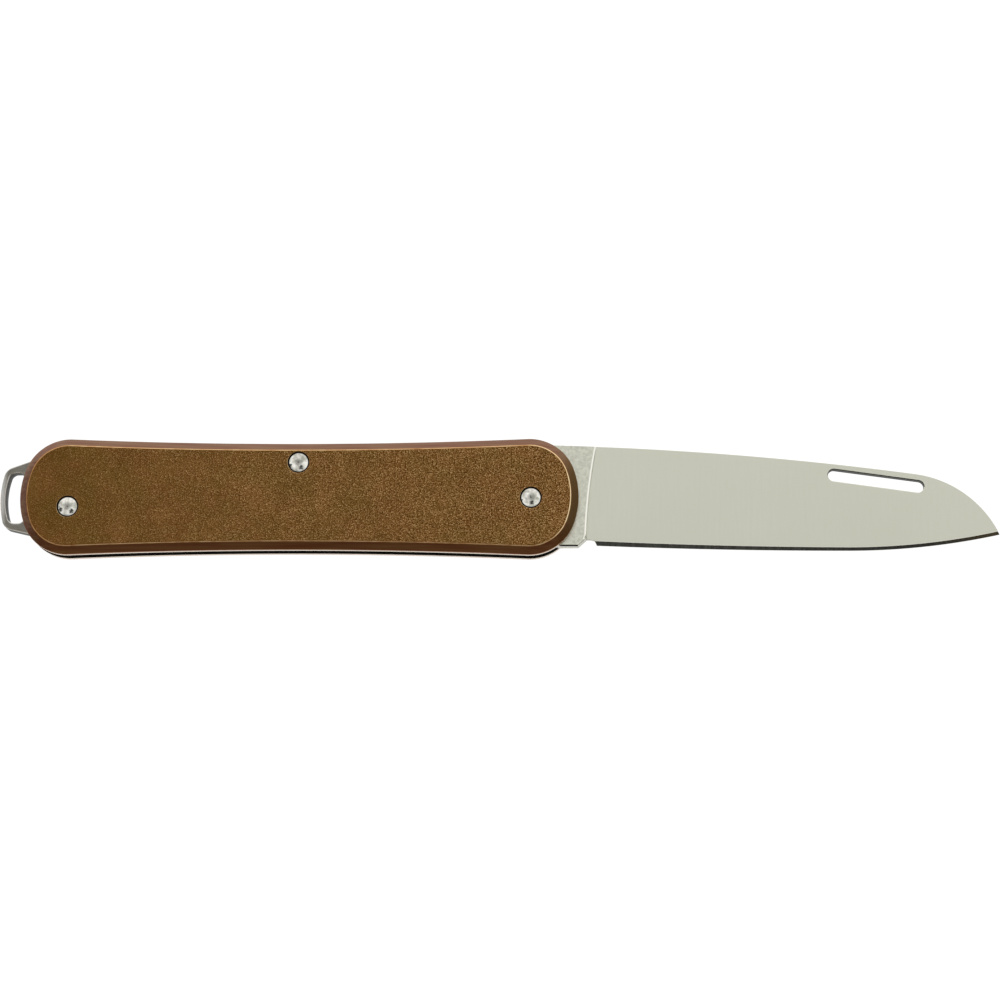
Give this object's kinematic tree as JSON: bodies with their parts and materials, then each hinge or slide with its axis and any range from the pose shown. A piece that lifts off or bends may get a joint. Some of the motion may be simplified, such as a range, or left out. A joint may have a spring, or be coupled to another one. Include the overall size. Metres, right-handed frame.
{
  "type": "folding pocket knife",
  "caption": "Slip-joint folding pocket knife, shown open: waisted bronze-coloured metal handle with bevelled edges, flat-ground blade with a nail slot, domed rivets and a lanyard loop.",
  "frame": {"origin": "under the middle of the open knife's whole length, on the rear scale's outer face, with the knife lying on that face", "axes": "+X to the blade's tip, +Y to the back of the handle (the spine side), +Z out of the front scale"},
  "size_m": [0.1546, 0.0182, 0.0056],
  "materials": {
    "scale_bronze": "bronze anodised, fine blasted",
    "liner_steel": "satin",
    "blade_steel": "satin flat grind",
    "spring_steel": "tumbled",
    "rivet_steel": "polished",
    "washer_bronze": "plain"
  },
  "bodies": {
    "handle": {"front_scale": "scale_bronze", "rear_scale": "scale_bronze", "front_liner": "liner_steel", "rear_liner": "liner_steel", "backspring_root": "spring_steel", "pivot_bushing": "washer_bronze", "front_pivot_washer": "washer_bronze", "rear_pivot_washer": "washer_bronze", "pivot_rivet_barrel": "rivet_steel", "pivot_rivet_pin": "rivet_steel", "middle_rivet_barrel": "rivet_steel", "middle_rivet_pin": "rivet_steel", "butt_rivet_barrel": "rivet_steel", "butt_rivet_pin": "rivet_steel"},
    "blade": {"blade": "blade_steel"},
    "spring_arm": {"backspring_arm": "spring_steel"}
  },
  "joints": [
    {"name": "blade_pivot", "type": "hinge", "parent": "handle", "child": "blade", "pos_m": [0.00541, -0.00031, 0.0028], "axis": [0, 0, -1], "range_deg": [0, 171], "deforming": ["backspring_arm"]},
    {"name": "spring_flex", "type": "hinge", "parent": "handle", "child": "spring_arm", "pos_m": [-0.03061, 0.00528, 0.0028], "axis": [0, 0, 1], "range_deg": [0, 1], "stiffness_Nm_per_rad": 60, "springref_deg": -0.57}
  ]
}
